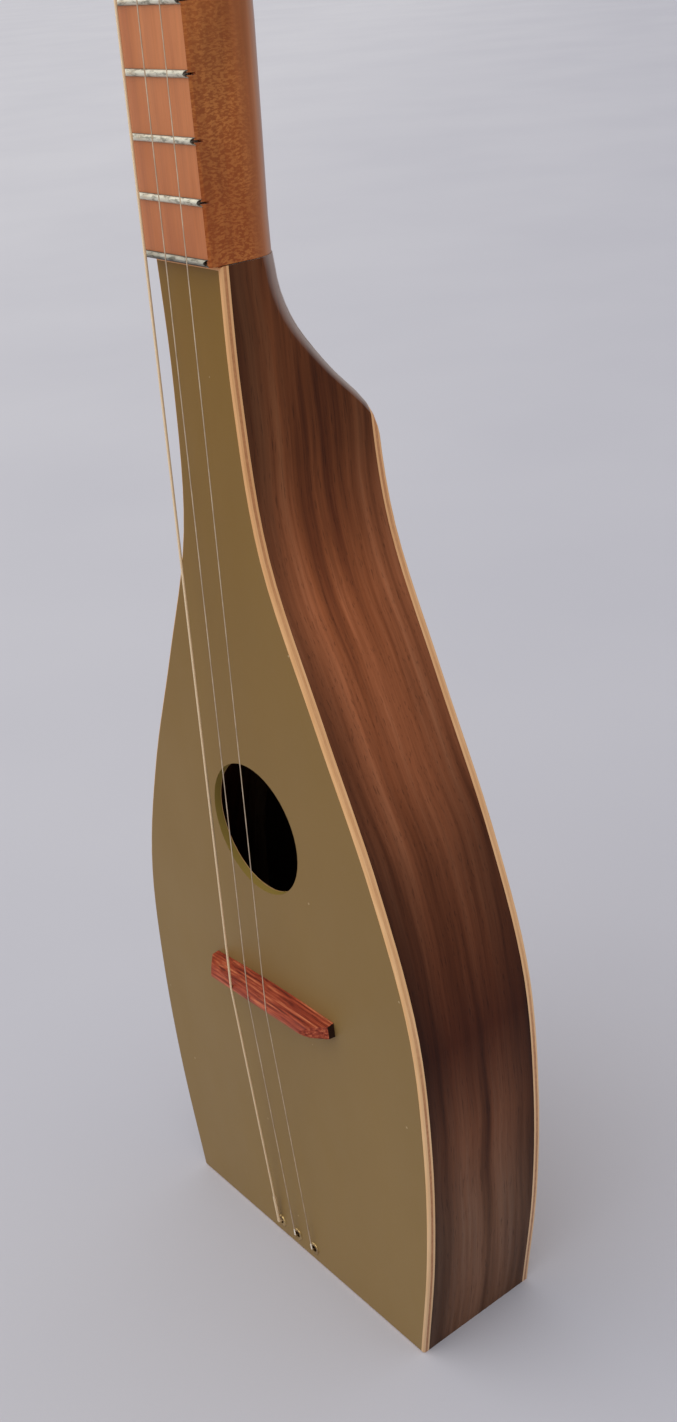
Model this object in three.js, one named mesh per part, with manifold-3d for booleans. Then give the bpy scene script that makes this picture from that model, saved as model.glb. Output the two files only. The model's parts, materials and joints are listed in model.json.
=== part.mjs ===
// Three-string fretted stick dulcimer: a pear-shaped soundbox on a flat tail, a one-piece neck and head,
// and three open worm-geared tuners. Millimetres. The origin is the centre of the flat tail face,
// +Z runs up the neck, +X is to the right seen from the front, and the front faces -Y.
import * as THREE from 'three';
import { mergeVertices } from 'three/addons/utils/BufferGeometryUtils.js';
import Module from 'manifold-3d';

const wasm = await Module();
wasm.setup();

// ---- driving dimensions ----
const GLUE = 0.2; // seam between glued pieces
const GAP = 0.3; // seam between fitted pieces

const BODY_DEPTH = 59.4;
const PLY = 3.2; // top and back plate
const FRONT = -BODY_DEPTH / 2; // outer face of the top plate
const RIB = BODY_DEPTH / 2 - PLY; // half the depth of the side strips
const SIDE = 3; // thickness of a side strip
const BODY_TOP = 428.6; // where the soundbox meets the neck
const STATION = 9; // spacing of the points along the outline

// Half-width of the soundbox at evenly spaced heights.
const OUTLINE_STEP = 55;
const OUTLINE_WIDTHS = [77.6, 85.8, 88.8, 85.2, 68.9, 45.9, 24.4, 18.6, 19.3];

const HOLE = { z: 215.2, r: 26.4, stretch: 1.025 };
const TAIL_BLOCK_TOP = 18;
const HEEL_BLOCK_BOTTOM = 345;
const LINING = { width: 5, depth: 6 };

// The heel sweeps from the back plate in to the neck: depth and corner radius at each height.
const HEEL_HEIGHTS = [358, 364, 370, 375, 384, 394, 404, 416, 429];
const HEEL_BACKS = [29.7, 29.5, 28, 25, 16.8, 9.3, 3.3, -1, -2.6];
const HEEL_RADII = [0.5, 2, 4.2, 6, 7, 8.5, 10.5, 12, 13];

const SCALE = 647.7; // 25.5 inch string length
const FRETS = 14;
const NECK = { z: 429, proud: 3.8, lean: 0.65, cornerR: 13.5, arris: 0.8, tenon: [20, 16, 32] };
const NECK_HALF_BOTTOM = 19;
const NECK_HALF_NUT = 17.6;
const NECK_HEIGHTS = [0, 12, 35, 70, 130, 200, 270, 340, 366.3];
const NECK_DEPTHS = [30.9, 30.8, 31.4, 32.2, 32, 30.2, 28, 25.8, 21];
const NUT_Z = SCALE * (1 - 2 ** (-FRETS / 12)) + 2.6;
const LAST_FRET_Z = 1.3; // the last fret is set flush with the neck's end
const NUT = { length: 4.5, seat: 3, rise: 1.9 };
const FRET = { width: 2.4, height: 1.2, bevel: 1.5, tang: 0.5, tangDepth: 1.8, slot: 0.8, slotDepth: 2.4 };

const HEAD = { pitch: 12, thickness: 15, length: 108, shoulder: 26, crown: 22.5 };

const STRING_RADII = [0.5, 0.22, 0.2];
const FERRULE_XS = [-16.2, -4.4, 7.4];
const FERRULE_Z = 7.3;
const NUT_XS = [-12.5, 0, 12.5];
const FERRULE = { flangeR: 3, flange: 0.4, barrelR: 2.2, boreR: 1.5 };
const BALL = { r: 2, y: -20.5, z: 2.5, pocketR: 2.6, pocket: 4.8 };
const TWIST = { r: 0.8, up: 14 }; // doubled wire above the ball of the wound string

// The bridge is a ridged bar, a little narrower at its ends, with both ends sloped off.
const BRIDGE = { z: 139.6, half: 38.9, height: 10.4, base: 4.3, endBase: 3.2, slant: 3 };
const BRIDGE_CROWN = { shoulder: 2.9, shoulderHeight: 7.8, ridge: 0.6 };
const BRIDGE_END = { height: 3, ridgeHalf: 29.8 };

// Worm-geared tuners. Posts stand at these places on the head, and each button points to its own side.
const TUNERS = [
  { x: -13, z: 36, side: -1 },
  { x: -13, z: 74, side: -1 },
  { x: 13, z: 55, side: 1 },
];
const TEETH = 14;
const PITCH = 2; // axial pitch of the single-start worm
const GEAR = { pitchR: (TEETH * PITCH) / (2 * Math.PI), rootR: 3.6, tipR: 4.95, width: 2.4 };
const TOOTH = { rootHalf: 0.45, tipHalf: 0.25 };
const WORM = { coreR: 1.3, crestR: 2.75, pitchR: 2.2, half: 4.2, shaftR: 1.2 };
const WORM_DROP = GEAR.pitchR + WORM.pitchR; // worm axis below the post axis
const PLATE = { half: 6.5, below: 20, above: 11, thickness: 1 };
const PLATE_Y = HEAD.thickness + 0.1;
const GEAR_Y = PLATE_Y + PLATE.thickness + 3.3; // middle of the gear and axis of the worm
const EAR = { x: 5.2, thickness: 1, half: 2.6, rise: 6 };
const POST = { r: 3, waistR: 2.5, capR: 3.1, cap: -9, waistTop: -7.2, waistBottom: -2.8, windingY: -5 };
const BUTTON = { start: 15, length: 16, r: 8, flat: 0.5 };
const BUSH = { flangeR: 5.2, flange: 1.2, sleeveR: 4.3, sleeve: 7, boreR: 3.3, holeR: 4.6 };
const TURNS = 4; // wraps of string on a post

// ---- materials ----
const paint = (color) => new THREE.MeshStandardMaterial({ color });
const OLIVE = paint(0x7d673f);
const BIRCH = paint(0xc9a87c);
const WALNUT = paint(0x4a2c1c);
const SPRUCE = paint(0xd9bf94);
const LACEWOOD = paint(0xa5643c);
const PADAUK = paint(0x96341f);
const NICKEL = paint(0xc8c6bd);
const STEEL = paint(0x9a9a98);
const BRASS = paint(0xb08d4a);
const BRONZE = paint(0xb98a55);
const IVORY = paint(0xe6dfcc);

// ---- solids ----
const vec = (x, y, z) => new THREE.Vector3(x, y, z);

function toSolid(geometry) {
  const bare = geometry.clone();
  bare.deleteAttribute('normal');
  bare.deleteAttribute('uv');
  const merged = mergeVertices(bare, 1e-4);
  return new wasm.Manifold(new wasm.Mesh({
    numProp: 3,
    vertProperties: new Float32Array(merged.attributes.position.array),
    triVerts: new Uint32Array(merged.index.array),
  }));
}

function toGeometry(solid) {
  const mesh = solid.getMesh();
  const geometry = new THREE.BufferGeometry();
  geometry.setAttribute('position', new THREE.BufferAttribute(mesh.vertProperties, 3));
  geometry.setIndex(new THREE.BufferAttribute(mesh.triVerts, 1));
  return geometry.toNonIndexed();
}

const join = (...parts) => toGeometry(parts.map(toSolid).reduce((a, b) => a.add(b)));
const cut = (part, ...tools) => toGeometry(tools.map(toSolid).reduce((a, b) => a.subtract(b), toSolid(part)));
const common = (a, b) => toGeometry(toSolid(a).intersect(toSolid(b)));

/** Triangles of a flat ring of points, wound the way the ring runs. */
function capTriangles(ring) {
  const normal = vec(0, 0, 0);
  ring.forEach((p, i) => normal.add(p.clone().cross(ring[(i + 1) % ring.length])));
  const size = [Math.abs(normal.x), Math.abs(normal.y), Math.abs(normal.z)];
  const drop = size.indexOf(Math.max(...size));
  const axes = [['y', 'z'], ['z', 'x'], ['x', 'y']][drop];
  const flat = ring.map((p) => new THREE.Vector2(p[axes[0]], p[axes[1]]));
  const turn = Math.sign(THREE.ShapeUtils.area(flat));
  return THREE.ShapeUtils.triangulateShape(flat, []).map((face) => {
    const area = THREE.ShapeUtils.area(face.map((i) => flat[i]));
    return area * turn > 0 ? face : [face[0], face[2], face[1]];
  });
}

/** Closed body through rings with the same number of points; the first and last ring are capped. */
function loft(rings) {
  const count = rings[0].length;
  const faces = capTriangles(rings[0]).map(([a, b, c]) => [a, c, b]);
  for (let k = 0; k + 1 < rings.length; k += 1) {
    for (let i = 0; i < count; i += 1) {
      const a = k * count + i;
      const b = k * count + (i + 1) % count;
      faces.push([a, b, a + count], [b, b + count, a + count]);
    }
  }
  const last = (rings.length - 1) * count;
  capTriangles(rings[rings.length - 1]).forEach((face) => faces.push(face.map((i) => i + last)));

  const points = rings.flat();
  const volume = faces.reduce((sum, [a, b, c]) => (
    sum + points[a].dot(points[b].clone().cross(points[c]))), 0);
  const corners = faces.flatMap(([a, b, c]) => (volume > 0 ? [a, b, c] : [a, c, b]));
  return new THREE.BufferGeometry().setFromPoints(corners.map((i) => points[i]));
}

/** Round wire through the points, with one radius for all of them or a radius each. */
function wire(points, radii, sides = 8) {
  const rings = points.map((point, k) => {
    const before = points[Math.max(k - 1, 0)];
    const after = points[Math.min(k + 1, points.length - 1)];
    const along = after.clone().sub(before).normalize();
    const across = vec(1, 0, 0).addScaledVector(along, -along.x).normalize();
    const up = along.clone().cross(across);
    const r = Array.isArray(radii) ? radii[k] : radii;
    return Array.from({ length: sides }, (_, i) => {
      const angle = (i / sides) * 2 * Math.PI;
      return point.clone()
        .addScaledVector(across, r * Math.cos(angle))
        .addScaledVector(up, r * Math.sin(angle));
    });
  });
  return loft(rings);
}

function box(x0, x1, y0, y1, z0, z1) {
  const geometry = new THREE.BoxGeometry(x1 - x0, y1 - y0, z1 - z0);
  return geometry.translate((x0 + x1) / 2, (y0 + y1) / 2, (z0 + z1) / 2);
}

/** Turned body about the Y axis from [radius, y] pairs that start and end on the axis or close up. */
function turned(profile, segments = 18) {
  return new THREE.LatheGeometry(profile.map(([r, y]) => new THREE.Vector2(r, y)), segments);
}

/** Solid of revolution whose profile is a closed loop away from the axis, such as a ring. */
const turnedRing = (profile, segments) => turned([...profile, profile[0]], segments);

const rodY = (r, y0, y1, segments) => turned([[0, y0], [r, y0], [r, y1], [0, y1]], segments);

/** Outline drawn in X and Z, given thickness along Y. */
function slab(shape, y0, y1, curveSegments = 6) {
  const geometry = new THREE.ExtrudeGeometry(shape, { depth: y1 - y0, bevelEnabled: false, curveSegments });
  return geometry.rotateX(Math.PI / 2).translate(0, y1, 0);
}

// ---- the tree of groups ----
const dulcimer = new THREE.Group();
dulcimer.name = 'stick_dulcimer';

const neckGroup = new THREE.Group();
neckGroup.position.set(0, FRONT - NECK.proud, NECK.z);
neckGroup.rotation.x = -THREE.MathUtils.degToRad(NECK.lean);
dulcimer.add(neckGroup);

const headGroup = new THREE.Group();
headGroup.position.set(0, NUT.seat, NUT_Z + NUT.length);
headGroup.rotation.x = -THREE.MathUtils.degToRad(HEAD.pitch);
neckGroup.add(headGroup);
dulcimer.updateMatrixWorld(true);

function addMesh(parent, name, geometry, material) {
  const flat = geometry.index ? geometry.toNonIndexed() : geometry;
  flat.computeVertexNormals();
  const mesh = new THREE.Mesh(flat, material);
  mesh.name = name;
  parent.add(mesh);
}

// ---- soundbox ----
const outlineHeights = OUTLINE_WIDTHS.map((_, i) => i * OUTLINE_STEP);
const outlineCurve = new THREE.CubicInterpolant(outlineHeights, OUTLINE_WIDTHS, 1);
const halfWidth = (z) => outlineCurve.evaluate(z)[0];

/** Heights from one level to another, evenly spaced at about the station spacing. */
function stations(low, high) {
  const steps = Math.ceil((high - low) / STATION);
  return Array.from({ length: steps + 1 }, (_, i) => low + ((high - low) * i) / steps);
}

/** Closed outline of a plate, drawn in from the soundbox's edge by inset all round. */
function plateRing(low, high, inset, y) {
  const heights = stations(low + inset, high - inset);
  const right = heights.map((z) => vec(halfWidth(z) - inset, y, z));
  const left = heights.map((z) => vec(inset - halfWidth(z), y, z)).reverse();
  return [...right, ...left];
}

function plate(high, inner, outer, edge) {
  const out = Math.sign(outer);
  return loft([
    plateRing(0, high, 0, inner),
    plateRing(0, high, 0, outer - out * edge),
    plateRing(0, high, edge * 0.35, outer - out * edge * 0.35),
    plateRing(0, high, edge, outer),
  ]);
}

/** Strip that follows one side of the outline, between two distances in from it. */
function strip(side, outset, inset, low, high, y0, y1) {
  const heights = stations(low, high);
  const outline = [
    ...heights.map((z) => [side * (halfWidth(z) - outset), z]),
    ...heights.map((z) => [side * (halfWidth(z) - inset), z]).reverse(),
  ];
  return loft([y0, y1].map((y) => outline.map(([x, z]) => vec(x, y, z))));
}

/** Block that fills the soundbox between its two sides. */
function block(low, high, y0, y1, clearance) {
  const heights = stations(low, high);
  const outline = [
    ...heights.map((z) => [halfWidth(z) - clearance, z]),
    ...heights.map((z) => [clearance - halfWidth(z), z]).reverse(),
  ];
  return loft([y0, y1].map((y) => outline.map(([x, z]) => vec(x, y, z))));
}

/** Section with a flat front and two rounded back corners, at one height. */
function roundBackRing(half, front, back, radius, z, arris = 0) {
  const arcSteps = 7;
  const corner = (side, from) => Array.from({ length: arcSteps + 1 }, (_, i) => {
    const angle = from + (i / arcSteps) * (Math.PI / 2);
    const reach = radius * Math.cos(angle);
    return vec(side * (half - radius) + reach, back - radius + radius * Math.sin(angle), z);
  });
  const frontEdge = arris
    ? [vec(-half, front + arris, z), vec(arris - half, front, z),
      vec(half - arris, front, z), vec(half, front + arris, z)]
    : [vec(-half, front, z), vec(half, front, z)];
  return [...frontEdge, ...corner(1, 0), ...corner(-1, Math.PI / 2)];
}

const heelBack = new THREE.CubicInterpolant(HEEL_HEIGHTS, HEEL_BACKS, 1);
const heelRadius = new THREE.CubicInterpolant(HEEL_HEIGHTS, HEEL_RADII, 1);
const heelBottom = HEEL_HEIGHTS[0];
const heelTop = HEEL_HEIGHTS[HEEL_HEIGHTS.length - 1];
const heelStations = Array.from({ length: 17 }, (_, i) => (
  heelBottom + ((heelTop - heelBottom) * i) / 16));
const sweptHeel = loft(heelStations.map((z) => roundBackRing(
  halfWidth(z) + 0.1, FRONT - 1, heelBack.evaluate(z)[0], heelRadius.evaluate(z)[0], z)));
const straightBody = box(-100, 100, FRONT - 1, -FRONT + 1, -1, heelBottom + 0.01);
const carving = join(straightBody, sweptHeel);

const soundHole = rodY(HOLE.r, FRONT - 5, FRONT + 10, 48).scale(1, 1, HOLE.stretch).translate(0, 0, HOLE.z);
const ferruleHoles = FERRULE_XS.map((x) => (
  rodY(FERRULE.barrelR + GAP, FRONT - 5, FRONT + PLY + 1.5, 16).translate(x, 0, FERRULE_Z)));
addMesh(dulcimer, 'top_plate', cut(plate(BODY_TOP, -RIB, FRONT, 1.2), soundHole, ...ferruleHoles), OLIVE);
addMesh(dulcimer, 'back_plate', common(plate(380, RIB, -FRONT, 0.6), carving), BIRCH);

for (const [name, side] of [['left', -1], ['right', 1]]) {
  const bent = strip(side, 0, SIDE, 0, BODY_TOP, -RIB, RIB);
  addMesh(dulcimer, `side_${name}`, common(bent, carving), WALNUT);
  const inner = SIDE + GLUE;
  const liningEnds = [TAIL_BLOCK_TOP + GLUE, HEEL_BLOCK_BOTTOM - GLUE];
  for (const [face, y0] of [['front', -RIB], ['back', RIB - LINING.depth]]) {
    const lining = strip(side, inner, inner + LINING.width, ...liningEnds, y0, y0 + LINING.depth);
    addMesh(dulcimer, `lining_${face}_${name}`, lining, SPRUCE);
  }
}

// Bars under the top above and below the sound hole, and a patch under the bridge.
function topBar(z, thickness, depth) {
  const half = halfWidth(z + thickness / 2) - SIDE - LINING.width - 3;
  const low = z - thickness / 2;
  return box(-half, half, -RIB, -RIB + depth, low, low + thickness);
}
addMesh(dulcimer, 'brace_upper', topBar(262, 7, 10), SPRUCE);
addMesh(dulcimer, 'brace_lower', topBar(174, 7, 10), SPRUCE);
addMesh(dulcimer, 'bridge_patch', box(-52, 52, -RIB, -RIB + 2.5, BRIDGE.z - 16, BRIDGE.z + 16), BIRCH);

// ---- string ends at the tail ----
const stringMouthY = FRONT - FERRULE.flange - 1;
const stringMouthZ = FERRULE_Z + 0.4;
const stringBendY = FRONT + PLY;
const stringBendZ = FERRULE_Z - 0.4;
const boreY = FRONT + PLY + 1.5;

const tailCuts = FERRULE_XS.flatMap((x) => {
  const toward = vec(x, BALL.y, BALL.z);
  const from = vec(x, stringBendY - 1, stringBendZ + 0.5);
  const pocket = rodY(BALL.pocketR, -1, BALL.pocket, 16).rotateX(Math.PI / 2).translate(x, BALL.y, 0);
  const ferruleSeat = rodY(FERRULE.barrelR + GAP, FRONT, boreY, 16).translate(x, 0, FERRULE_Z);
  return [wire([from, toward], 1.3), pocket, ferruleSeat];
});
const tailBlock = block(0, TAIL_BLOCK_TOP, -RIB, RIB, SIDE + GLUE);
addMesh(dulcimer, 'tail_block', cut(tailBlock, ...tailCuts), WALNUT);

FERRULE_XS.forEach((x, i) => {
  const { flangeR, flange, barrelR, boreR } = FERRULE;
  const top = FRONT - 0.05;
  const eyelet = turnedRing([
    [boreR, top - flange * 0.6], [boreR + 0.4, top - flange], [flangeR - 0.3, top - flange],
    [flangeR, top], [barrelR, top], [barrelR, FRONT + PLY], [boreR, FRONT + PLY],
  ], 20);
  addMesh(dulcimer, `ferrule_${i + 1}`, eyelet.translate(x, 0, FERRULE_Z), BRASS);

  const ball = turned([[0, -1.7], [BALL.r - 0.3, -1.7], [BALL.r, -1.2], [BALL.r, 1.2],
    [BALL.r - 0.3, 1.7], [0, 1.7]], 14);
  addMesh(dulcimer, `ball_end_${i + 1}`, ball.rotateZ(Math.PI / 2).translate(x, BALL.y, BALL.z), BRASS);
});

// ---- heel block and neck ----
const [tenonWidth, tenonDepth, tenonLength] = NECK.tenon;
const TENON_Y = 9; // front of the tenon behind the neck's face
const mortise = box(
  -tenonWidth / 2 - GAP, tenonWidth / 2 + GAP, TENON_Y - GAP, TENON_Y + tenonDepth + GAP,
  -tenonLength - GAP, 5).applyMatrix4(neckGroup.matrixWorld);
const heelBlank = block(HEEL_BLOCK_BOTTOM, BODY_TOP, -RIB, RIB, SIDE + GLUE);
addMesh(dulcimer, 'heel_block', cut(common(heelBlank, carving), mortise), WALNUT);

const neckDepth = new THREE.CubicInterpolant(NECK_HEIGHTS, NECK_DEPTHS, 1);
const neckHalf = (z) => THREE.MathUtils.mapLinear(z, 0, NUT_Z, NECK_HALF_BOTTOM, NECK_HALF_NUT);
const neckBlank = loft(NECK_HEIGHTS.map((z) => roundBackRing(
  neckHalf(z), 0, neckDepth.evaluate(z)[0], NECK.cornerR - z * 0.008, z, NECK.arris)));
const tenon = box(-tenonWidth / 2, tenonWidth / 2, TENON_Y, TENON_Y + tenonDepth, -tenonLength, 1);

const headShape = new THREE.Shape();
headShape.moveTo(-NECK_HALF_NUT, -6);
headShape.lineTo(-NECK_HALF_NUT, 4);
headShape.quadraticCurveTo(-NECK_HALF_NUT - 1, 16, -HEAD.shoulder, 22);
headShape.lineTo(-HEAD.crown, HEAD.length - 12);
headShape.quadraticCurveTo(-HEAD.crown + 2, HEAD.length - 4, 0, HEAD.length);
headShape.quadraticCurveTo(HEAD.crown - 2, HEAD.length - 4, HEAD.crown, HEAD.length - 12);
headShape.lineTo(HEAD.shoulder, 22);
headShape.quadraticCurveTo(NECK_HALF_NUT + 1, 16, NECK_HALF_NUT, 4);
headShape.lineTo(NECK_HALF_NUT, -6);
const headSlab = slab(headShape, 0, HEAD.thickness).applyMatrix4(headGroup.matrix);
const postHoles = TUNERS.map(({ x, z }) => (
  rodY(BUSH.holeR, -5, HEAD.thickness + 5, 18).translate(x, 0, z).applyMatrix4(headGroup.matrix)));
const fretZ = (n) => (n === FRETS ? LAST_FRET_Z : NUT_Z - SCALE * (1 - 2 ** (-n / 12)));
const fretNumbers = Array.from({ length: FRETS }, (_, i) => i + 1);
// The slots are sawn right through, except the last one, which stops short of the neck's sides.
const slotReach = (n) => (n === FRETS ? neckHalf(fretZ(n)) - 1.4 : 30);
const fretSlots = fretNumbers.map((n) => box(
  -slotReach(n), slotReach(n), -5, FRET.slotDepth, fretZ(n) - FRET.slot / 2, fretZ(n) + FRET.slot / 2));
const nutSeat = box(-30, 30, -5, NUT.seat, NUT_Z, NUT_Z + NUT.length + 20);
const neck = cut(join(neckBlank, tenon, headSlab), nutSeat, ...postHoles, ...fretSlots);
addMesh(neckGroup, 'neck', neck, LACEWOOD);

// A fret is a rounded crown with bevelled ends, on a tang that stops short of the neck's sides.
function fret(half) {
  const crown = Array.from({ length: 7 }, (_, i) => {
    const angle = (i / 6) * Math.PI;
    const rise = FRET.height * Math.sin(angle);
    return [(FRET.width / 2) * Math.cos(angle), -rise, half - 0.2 - rise * FRET.bevel];
  });
  const t = FRET.tang / 2;
  const tang = [[-t, 0], [-t, FRET.tangDepth], [t, FRET.tangDepth], [t, 0]].map(([z, y]) => [z, y, half - 2]);
  return loft([-1, 1].map((side) => (
    [...tang, ...crown].map(([z, y, reach]) => vec(side * reach, y - 0.05, z)))));
}
fretNumbers.forEach((n) => {
  addMesh(neckGroup, `fret_${n}`, fret(neckHalf(fretZ(n))).translate(0, 0, fretZ(n)), NICKEL);
});

// ---- nut and bridge, with a notch for each string ----
const notchWidth = (i) => 2 * STRING_RADII[i] + 0.4;
const nutTop = -NUT.rise;
const nutBlank = slab(new THREE.Shape([
  new THREE.Vector2(-NECK_HALF_NUT, NUT_Z + 0.1), new THREE.Vector2(NECK_HALF_NUT, NUT_Z + 0.1),
  new THREE.Vector2(NECK_HALF_NUT, NUT_Z + NUT.length), new THREE.Vector2(-NECK_HALF_NUT, NUT_Z + NUT.length),
]), nutTop, NUT.seat - 0.1);
const nutNotches = NUT_XS.map((x, i) => box(
  x - notchWidth(i) / 2, x + notchWidth(i) / 2, -8, nutTop + STRING_RADII[i] + 0.6, NUT_Z - 3, NUT_Z + 9));
addMesh(neckGroup, 'nut', cut(nutBlank, ...nutNotches), PADAUK);

const ferruleAt = (i) => vec(FERRULE_XS[i], stringMouthY, stringMouthZ);
const nutAt = (i) => neckGroup.localToWorld(vec(NUT_XS[i], nutTop, NUT_Z + NUT.length / 2));

/** Where a string crosses the slanted ridge of the bridge, straight between ferrule and nut. */
function bridgeAt(i) {
  const lean = (nutAt(i).x - FERRULE_XS[i]) / (nutAt(i).z - stringMouthZ);
  const x = FERRULE_XS[i] + lean * (BRIDGE.z - stringMouthZ);
  const z = BRIDGE.z + x * Math.tan(THREE.MathUtils.degToRad(BRIDGE.slant));
  return vec(x, FRONT - BRIDGE.height, z);
}

function bridgeRing(x) {
  const { shoulder, shoulderHeight, ridge } = BRIDGE_CROWN;
  const base = THREE.MathUtils.lerp(BRIDGE.base, BRIDGE.endBase, (x / BRIDGE.half) ** 2);
  const half = shoulder * (base / BRIDGE.base);
  const section = [[-base, 0], [base, 0], [half, shoulderHeight], [ridge, BRIDGE.height],
    [-ridge, BRIDGE.height], [-half, shoulderHeight]];
  return section.map(([z, y]) => vec(x, -y, z));
}
const bridgeBar = loft([-1, -0.5, 0, 0.5, 1].map((t) => bridgeRing(t * BRIDGE.half)));
const endSlope = (BRIDGE.height - BRIDGE_END.height) / (BRIDGE.half - BRIDGE_END.ridgeHalf);
const overRidge = BRIDGE_END.ridgeHalf - 1 / endSlope;
const bridgeSide = new THREE.Shape([
  [-BRIDGE.half - 1, 1], [-BRIDGE.half - 1, endSlope - BRIDGE_END.height],
  [-overRidge, -BRIDGE.height - 1], [overRidge, -BRIDGE.height - 1],
  [BRIDGE.half + 1, endSlope - BRIDGE_END.height], [BRIDGE.half + 1, 1],
].map(([x, y]) => new THREE.Vector2(x, y)));
const endCuts = new THREE.ExtrudeGeometry(bridgeSide, { depth: 20, bevelEnabled: false }).translate(0, 0, -10);
const bridgeBlank = common(bridgeBar, endCuts)
  .rotateY(-THREE.MathUtils.degToRad(BRIDGE.slant)).translate(0, FRONT - 0.05, BRIDGE.z);
const bridgeNotches = STRING_RADII.map((r, i) => {
  const { x, y, z } = bridgeAt(i);
  const half = notchWidth(i) / 2;
  return box(x - half, x + half, y - 3, y + r + 0.15, z - 3, z + 3);
});
addMesh(dulcimer, 'bridge', cut(bridgeBlank, ...bridgeNotches), PADAUK);

// ---- tuners, each built about its post's axis in the head's frame ----
const wormTurn = (x) => (2 * Math.PI * x) / PITCH - Math.PI / 2; // right-handed, gap towards the gear

function wormThread() {
  const section = [
    [-81, WORM.coreR], [-36, WORM.crestR], [0, WORM.crestR], [36, WORM.crestR], [81, WORM.coreR],
    [120, WORM.coreR], [160, WORM.coreR], [200, WORM.coreR], [240, WORM.coreR],
  ];
  const steps = 42;
  return loft(Array.from({ length: steps + 1 }, (_, k) => {
    const x = -WORM.half + (2 * WORM.half * k) / steps;
    return section.map(([degrees, r]) => {
      const angle = THREE.MathUtils.degToRad(degrees) + wormTurn(x);
      return vec(x, r * Math.cos(angle), r * Math.sin(angle));
    });
  }));
}

function gearWheel() {
  const shape = new THREE.Shape();
  for (let k = 0; k < TEETH; k += 1) {
    const middle = (k / TEETH) * 2 * Math.PI - Math.PI / 2;
    const corners = [
      [GEAR.rootR, -TOOTH.rootHalf], [GEAR.tipR, -TOOTH.tipHalf],
      [GEAR.tipR, TOOTH.tipHalf], [GEAR.rootR, TOOTH.rootHalf],
    ];
    corners.forEach(([r, offset]) => {
      const angle = middle + offset / r;
      const move = shape.curves.length || shape.currentPoint.length() ? 'lineTo' : 'moveTo';
      shape[move](r * Math.cos(angle), r * Math.sin(angle));
    });
  }
  return slab(shape, GEAR_Y - GEAR.width / 2, GEAR_Y + GEAR.width / 2);
}

/** Turned body about an axis along X, pointing out of the head's side. */
const outward = (geometry, side) => geometry.rotateZ(-side * Math.PI / 2);

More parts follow.
